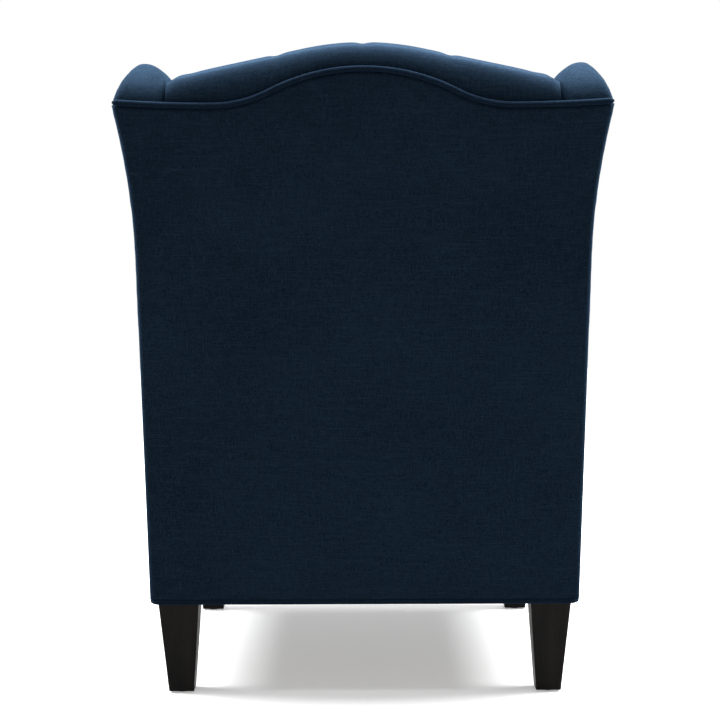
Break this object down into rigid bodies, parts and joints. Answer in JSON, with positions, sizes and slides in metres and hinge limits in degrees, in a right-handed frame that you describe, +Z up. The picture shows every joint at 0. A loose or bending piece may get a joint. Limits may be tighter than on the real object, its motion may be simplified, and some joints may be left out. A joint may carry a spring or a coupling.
{
  "type": "recliner armchair",
  "caption": "Wing-back push-back recliner armchair with a camel-back crest, piped rear panel, rolled arms, loose seat cushion, folding footrest and square tapered legs.",
  "frame": {"origin": "middle of the chair's footprint at floor level", "axes": "+Z up, the chair faces -Y, the sitter's left is +X"},
  "size_m": [0.7478, 0.83, 1.0256],
  "materials": {
    "navy_cloth": "woven linen-look upholstery cloth",
    "welt_cloth": "same cloth cut on the bias over cord and button moulds",
    "dark_wood": "espresso-stained hardwood, satin",
    "frame_wood": "unfinished hardwood and plywood",
    "mechanism_steel": "black powder-coated steel",
    "webbing": "elastic upholstery webbing",
    "glide_plastic": "moulded glides"
  },
  "bodies": {
    "base": {"leg_front_left": "dark_wood", "leg_front_right": "dark_wood", "leg_rear_left": "dark_wood", "leg_rear_right": "dark_wood", "foot_glides": "glide_plastic", "leg_bolts": "mechanism_steel", "side_rail_left": "navy_cloth", "side_rail_right": "navy_cloth", "side_frame_left": "navy_cloth", "side_frame_right": "navy_cloth", "outside_arm_left": "navy_cloth", "outside_arm_right": "navy_cloth", "arm_pad_left": "navy_cloth", "arm_pad_right": "navy_cloth", "arm_front_left": "navy_cloth", "arm_front_right": "navy_cloth", "base_plate_screws": "mechanism_steel", "base_cross_rails": "frame_wood", "rear_lower_panel": "navy_cloth", "rear_bottom_welt": "welt_cloth", "pivot_pins": "mechanism_steel", "base_plate_left": "mechanism_steel", "base_plate_right": "mechanism_steel"},
    "back": {"outside_back_panel": "navy_cloth", "crest_welt": "welt_cloth", "back_pad": "navy_cloth", "tuft_buttons": "welt_cloth", "crest_rail": "frame_wood", "back_bottom_rail": "frame_wood", "back_webbing": "webbing", "bracket_bolts": "mechanism_steel", "wing_pad_left": "navy_cloth", "wing_pad_right": "navy_cloth", "wing_frame_left": "frame_wood", "wing_frame_right": "frame_wood", "back_post_left": "frame_wood", "back_post_right": "frame_wood", "back_bracket_left": "mechanism_steel", "back_bracket_right": "mechanism_steel"},
    "seat": {"seat_cushion": "navy_cloth", "seat_side_rails": "frame_wood", "seat_front_rail": "navy_cloth", "seat_rear_rail": "frame_wood", "seat_webbing": "webbing", "seat_plate_left": "mechanism_steel", "seat_plate_right": "mechanism_steel"},
    "hangers": {"hanger_links": "mechanism_steel"},
    "swing_links": {"swing_link_left": "mechanism_steel", "swing_link_right": "mechanism_steel"},
    "crank_links": {"crank_link_left": "mechanism_steel", "crank_link_right": "mechanism_steel"},
    "carrier_bars": {"carrier_bar_left": "mechanism_steel", "carrier_bar_right": "mechanism_steel"},
    "tie_bars": {"tie_bar_left": "mechanism_steel", "tie_bar_right": "mechanism_steel"},
    "footrest": {"footrest_board": "navy_cloth", "footrest_pad": "navy_cloth", "footrest_brackets": "mechanism_steel"}
  },
  "joints": [
    {"name": "recline", "type": "hinge", "parent": "base", "child": "back", "pos_m": [0, 0.26323, 0.43], "axis": [-1, 0, 0], "range_deg": [0, 28]},
    {"name": "seat_level", "type": "hinge", "parent": "back", "child": "seat", "pos_m": [0, 0.26323, 0.315], "axis": [-1, 0, 0], "range_deg": [-28, 0]},
    {"name": "hanger_swing", "type": "hinge", "parent": "base", "child": "hangers", "pos_m": [0, -0.13, 0.335], "axis": [-1, 0, 0], "range_deg": [0, 28]},
    {"name": "swing_out", "type": "hinge", "parent": "seat", "child": "swing_links", "pos_m": [0, -0.262, 0.29], "axis": [-1, 0, 0], "range_deg": [0, 95]},
    {"name": "carrier_level", "type": "hinge", "parent": "swing_links", "child": "carrier_bars", "pos_m": [0, -0.187, 0.1601], "axis": [-1, 0, 0], "range_deg": [-95, 0]},
    {"name": "footrest_turn", "type": "hinge", "parent": "carrier_bars", "child": "footrest", "pos_m": [0, -0.345, 0.262], "axis": [-1, 0, 0], "range_deg": [0, 95]},
    {"name": "crank_out", "type": "hinge", "parent": "seat", "child": "crank_links", "pos_m": [0, -0.31242, 0.32252], "axis": [-1, 0, 0], "range_deg": [0, 95]},
    {"name": "tie_level", "type": "hinge", "parent": "crank_links", "child": "tie_bars", "pos_m": [0, -0.22678, 0.15199], "axis": [-1, 0, 0], "range_deg": [-95, 0]}
  ],
  "couplings": [
    {"joint": "seat_level", "follows": "recline", "ratio": -1},
    {"joint": "hanger_swing", "follows": "recline", "ratio": 1},
    {"joint": "swing_out", "follows": "recline", "ratio": 3.3929},
    {"joint": "carrier_level", "follows": "recline", "ratio": -3.3929},
    {"joint": "footrest_turn", "follows": "recline", "ratio": 3.3929},
    {"joint": "crank_out", "follows": "recline", "ratio": 3.3929},
    {"joint": "tie_level", "follows": "recline", "ratio": -3.3929}
  ]
}
